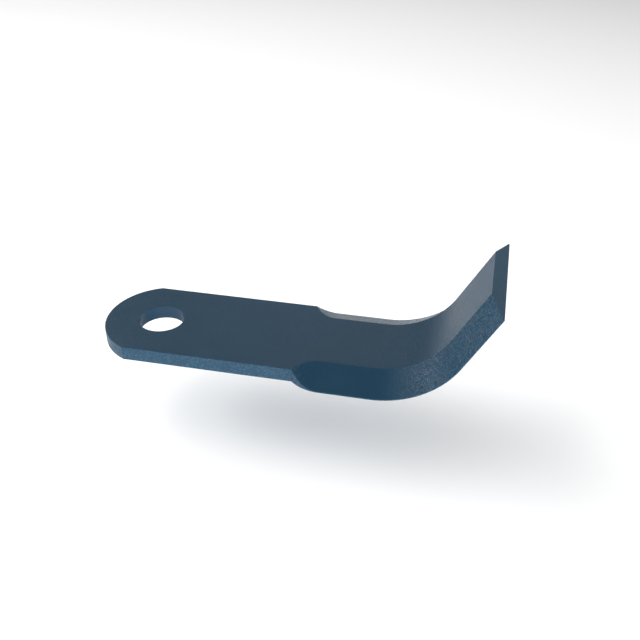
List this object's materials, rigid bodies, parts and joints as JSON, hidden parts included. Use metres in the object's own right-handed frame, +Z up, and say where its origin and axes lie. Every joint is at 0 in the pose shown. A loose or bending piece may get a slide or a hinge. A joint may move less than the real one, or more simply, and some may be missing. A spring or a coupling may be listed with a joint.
{
  "type": "rotary mower blade",
  "caption": "One-piece flat mower blade with a bolt hole in its rounded end, bevelled long edges and an upturned square-cut tip.",
  "frame": {"origin": "centre of the bolt hole, on the flat underside of the shank", "axes": "+X along the shank towards the tip, +Z up through the bolt hole towards the side that the tip is bent to"},
  "size_m": [0.1405, 0.048, 0.0394],
  "materials": {
    "blade_finish": "dark slate-blue hard finish, satin, finely speckled"
  },
  "bodies": {
    "root": {"mower_blade": "blade_finish"}
  },
  "joints": []
}
